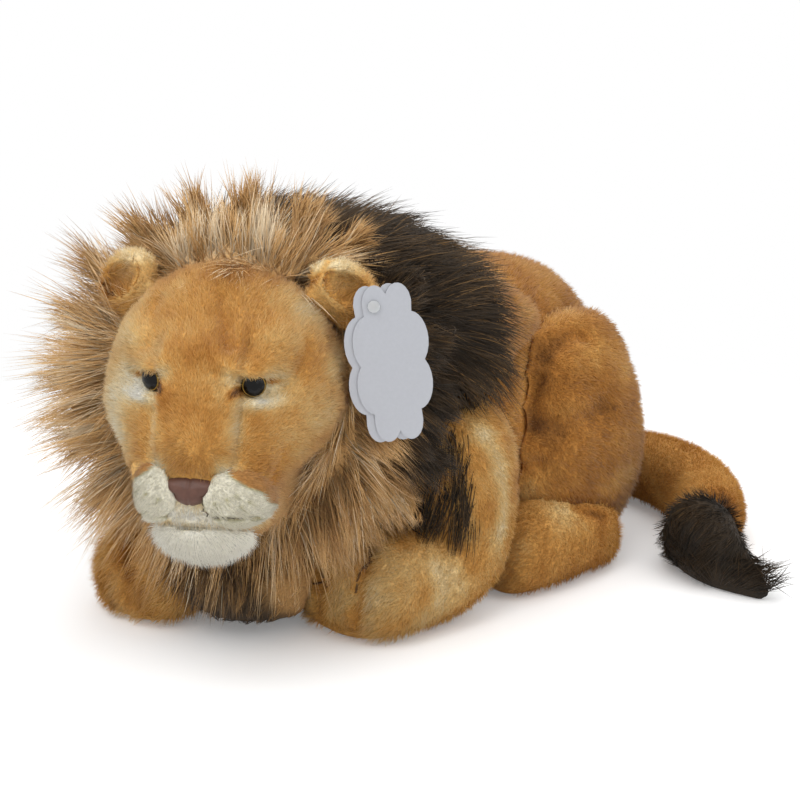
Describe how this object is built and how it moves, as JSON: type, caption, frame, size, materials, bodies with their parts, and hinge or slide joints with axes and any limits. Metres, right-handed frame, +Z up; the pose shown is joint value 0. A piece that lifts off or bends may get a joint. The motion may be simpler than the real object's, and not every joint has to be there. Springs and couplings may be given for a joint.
{
  "type": "plush lion",
  "caption": "Stuffed plush lion lying on its belly with its head turned to its left, long mane, bent tail with a dark tuft and a blank scalloped hang tag at one ear.",
  "frame": {"origin": "middle of the flat face under the belly, on the floor", "axes": "+Z up, -Y towards the chest and head, +X towards the lion's left side, where the head and tail turn"},
  "size_m": [0.3089, 0.4328, 0.246],
  "materials": {
    "tan_pile": "short pile plush, matte",
    "cream_pile": "short pile plush, matte",
    "mane_tan": "long pile plush, matte",
    "mane_dark": "long pile plush, matte",
    "nose": "leatherette, satin",
    "eye": "moulded acrylic, gloss",
    "washer": "moulded nylon, matte",
    "card": "coated card, satin",
    "barb": "clear nylon, satin"
  },
  "bodies": {
    "torso": {"torso": "tan_pile", "left_thigh": "tan_pile", "right_thigh": "tan_pile", "left_hind_foot": "tan_pile", "right_hind_foot": "tan_pile", "mane_cape": "mane_dark", "mane_bib": "mane_tan"},
    "head": {"head": "tan_pile", "mane_ruff": "mane_tan", "left_lip_pad": "cream_pile", "right_lip_pad": "cream_pile", "chin_pad": "cream_pile", "nose": "nose", "left_eye": "eye", "right_eye": "eye", "left_eye_washer": "washer", "right_eye_washer": "washer"},
    "left_ear": {"left_ear_back": "tan_pile", "left_ear_lining": "cream_pile", "tag_barb": "barb"},
    "right_ear": {"right_ear_back": "tan_pile", "right_ear_lining": "cream_pile"},
    "hang_tag": {"tag_front_leaf": "card", "tag_back_leaf": "card"},
    "left_foreleg": {"left_foreleg": "tan_pile"},
    "right_foreleg": {"right_foreleg": "tan_pile"},
    "tail": {"tail": "tan_pile", "tail_tuft": "mane_dark"}
  },
  "joints": [
    {"name": "head_turn", "type": "hinge", "parent": "torso", "child": "head", "pos_m": [0, -0.114, 0.118], "axis": [0, 0, 1], "range_deg": [-24, 4], "stiffness_Nm_per_rad": 0.4},
    {"name": "left_ear_fold", "type": "hinge", "parent": "head", "child": "left_ear", "pos_m": [0.05956, -0.12406, 0.18], "axis": [0.5572, 0.5572, -0.6157], "range_deg": [-20, 6], "stiffness_Nm_per_rad": 0.03},
    {"name": "right_ear_fold", "type": "hinge", "parent": "head", "child": "right_ear", "pos_m": [-0.02687, -0.16809, 0.18], "axis": [0.7783, 0.1233, 0.6157], "range_deg": [-20, 20], "stiffness_Nm_per_rad": 0.03},
    {"name": "tag_swing", "type": "hinge", "parent": "left_ear", "child": "hang_tag", "pos_m": [0.08965, -0.12649, 0.18589], "axis": [0.7193, -0.6947, 0], "range_deg": [0, 40]},
    {"name": "left_foreleg_splay", "type": "hinge", "parent": "torso", "child": "left_foreleg", "pos_m": [0.068, -0.042, 0], "axis": [0, 0, 1], "range_deg": [0, 25], "stiffness_Nm_per_rad": 0.2},
    {"name": "right_foreleg_splay", "type": "hinge", "parent": "torso", "child": "right_foreleg", "pos_m": [-0.068, -0.042, 0], "axis": [0, 0, -1], "range_deg": [0, 25], "stiffness_Nm_per_rad": 0.2},
    {"name": "tail_swing", "type": "hinge", "parent": "torso", "child": "tail", "pos_m": [0, 0.168, 0], "axis": [0, 0, 1], "range_deg": [-5, 65]}
  ]
}
